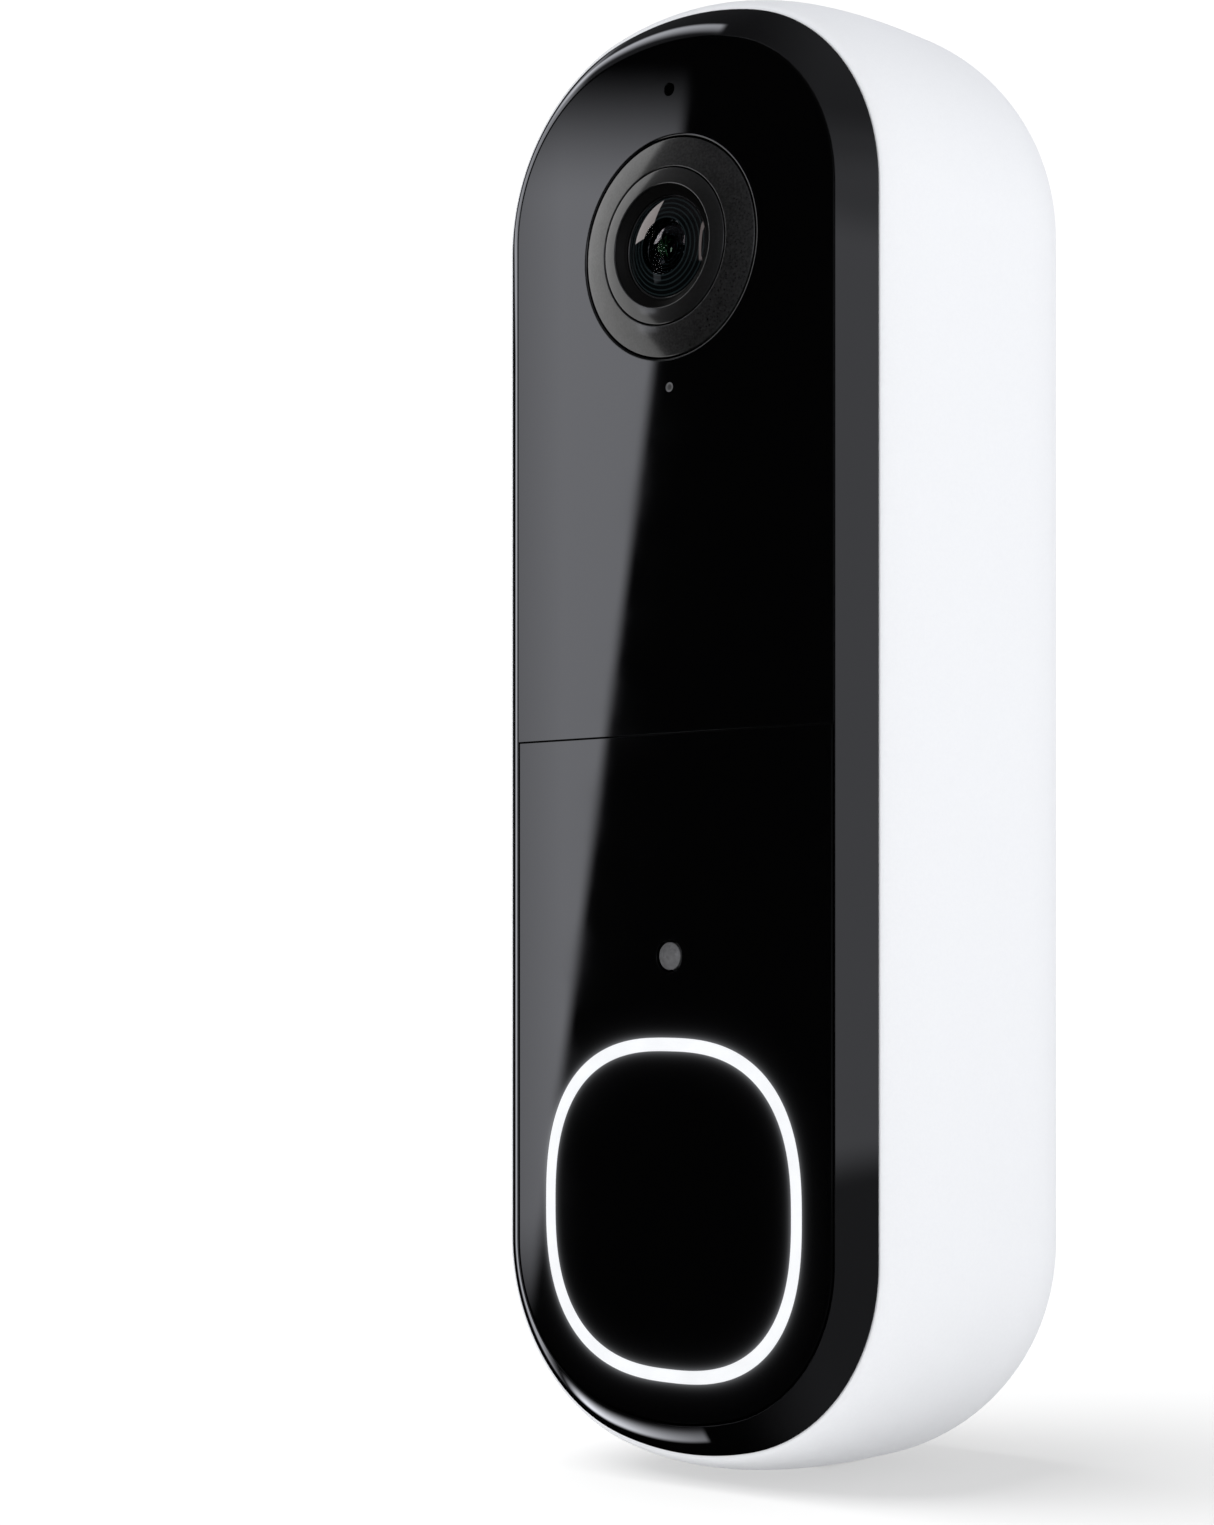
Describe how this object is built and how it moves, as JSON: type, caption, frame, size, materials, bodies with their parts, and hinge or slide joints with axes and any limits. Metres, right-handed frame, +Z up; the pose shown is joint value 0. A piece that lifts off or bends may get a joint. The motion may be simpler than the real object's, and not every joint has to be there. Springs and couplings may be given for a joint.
{
  "type": "video doorbell",
  "caption": "Slim white and gloss black video doorbell with a camera eye above and a large lit push panel below, hung on its wall plate.",
  "frame": {"origin": "centre of the wall plate's back face, on the wall", "axes": "+Z up the wall, +Y into the wall, the front faces -Y, +X to the right seen from the front"},
  "size_m": [0.0484, 0.0362, 0.136],
  "materials": {
    "shell_white": "fine-grained matte white",
    "gloss_black": "mirror-smooth gloss black",
    "ring_light": "lit white diffuser",
    "motion_grey": "smoked translucent",
    "trim_black": "fine brushed dark grey",
    "hood_black": "satin black",
    "lens_glass": "coated glass",
    "optic_glass": "coated glass",
    "plate_grey": "fine-grained matte light grey",
    "steel": "satin",
    "brass": "satin",
    "board_green": "solder mask",
    "chip_black": "moulded",
    "frame_grey": "moulded",
    "lamp_red": "tinted clear",
    "lamp_white": "phosphor",
    "seal_rubber": "soft",
    "cover_rubber": "soft",
    "battery_wrap": "shrink film",
    "foam": "open foam",
    "stem_ivory": "moulded",
    "button_orange": "satin",
    "flex_amber": "polyimide film"
  },
  "bodies": {
    "wall_plate": {"wall_plate": "plate_grey", "hook_bar": "steel"},
    "doorbell": {"rear_shell": "shell_white", "front_bezel": "gloss_black", "upper_panel": "gloss_black", "pivot_rods": "steel", "lens_trim": "trim_black", "lens_hood": "hood_black", "lens_dome": "lens_glass", "lens_barrel": "hood_black", "lens_elements": "optic_glass", "lens_holder": "frame_grey", "image_sensor": "chip_black", "camera_board": "board_green", "infrared_lamps": "lamp_red", "light_pipe": "motion_grey", "microphone": "steel", "microphone_gasket": "seal_rubber", "main_board": "board_green", "shield_can": "steel", "motion_sensor": "steel", "antenna": "brass", "ring_board": "board_green", "ring_lamps": "lamp_white", "switch_body": "chip_black", "ribbon_cable": "flex_amber", "chassis": "frame_grey", "battery": "battery_wrap", "battery_pad": "foam", "speaker": "chip_black", "speaker_gasket": "foam", "perimeter_seal": "seal_rubber", "housing_screws": "steel", "charge_port": "steel", "charge_board": "board_green", "setup_switch": "seal_rubber", "terminal_block": "chip_black", "terminal_screws": "brass", "latch_spring": "steel"},
    "button_panel": {"button_panel": "gloss_black", "light_ring": "ring_light", "motion_window": "motion_grey"},
    "switch_stem": {"switch_stem": "stem_ivory"},
    "release_latch": {"release_latch": "frame_grey"},
    "port_cover": {"port_cover": "cover_rubber"},
    "setup_button": {"setup_button": "button_orange"}
  },
  "joints": [
    {"name": "doorbell_tilt", "type": "hinge", "parent": "wall_plate", "child": "doorbell", "pos_m": [0, -0.002, 0.055], "axis": [-1, 0, 0], "range_deg": [0, 2]},
    {"name": "latch_slide", "type": "slide", "parent": "doorbell", "child": "release_latch", "axis": [0, 0, 1], "range_m": [0, 0.0022], "deforming": ["latch_spring"]},
    {"name": "button_press", "type": "hinge", "parent": "doorbell", "child": "button_panel", "pos_m": [0, -0.0318, -0.002], "axis": [1, 0, 0], "range_deg": [0, 0.85], "stiffness_Nm_per_rad": 5.5},
    {"name": "switch_travel", "type": "slide", "parent": "doorbell", "child": "switch_stem", "axis": [0, 1, 0], "range_m": [0, 0.00062]},
    {"name": "cover_swing", "type": "hinge", "parent": "doorbell", "child": "port_cover", "pos_m": [0, -0.0025, 0.0346], "axis": [1, 0, 0], "range_deg": [0, 100]},
    {"name": "setup_press", "type": "slide", "parent": "doorbell", "child": "setup_button", "axis": [0, -1, 0], "range_m": [0, 0.0004], "stiffness_N_per_m": 3000}
  ],
  "couplings": [
    {"joint": "latch_slide", "follows": "doorbell_tilt", "m_per_rad": 0.063},
    {"joint": "switch_travel", "follows": "button_press", "m_per_rad": 0.04105}
  ]
}
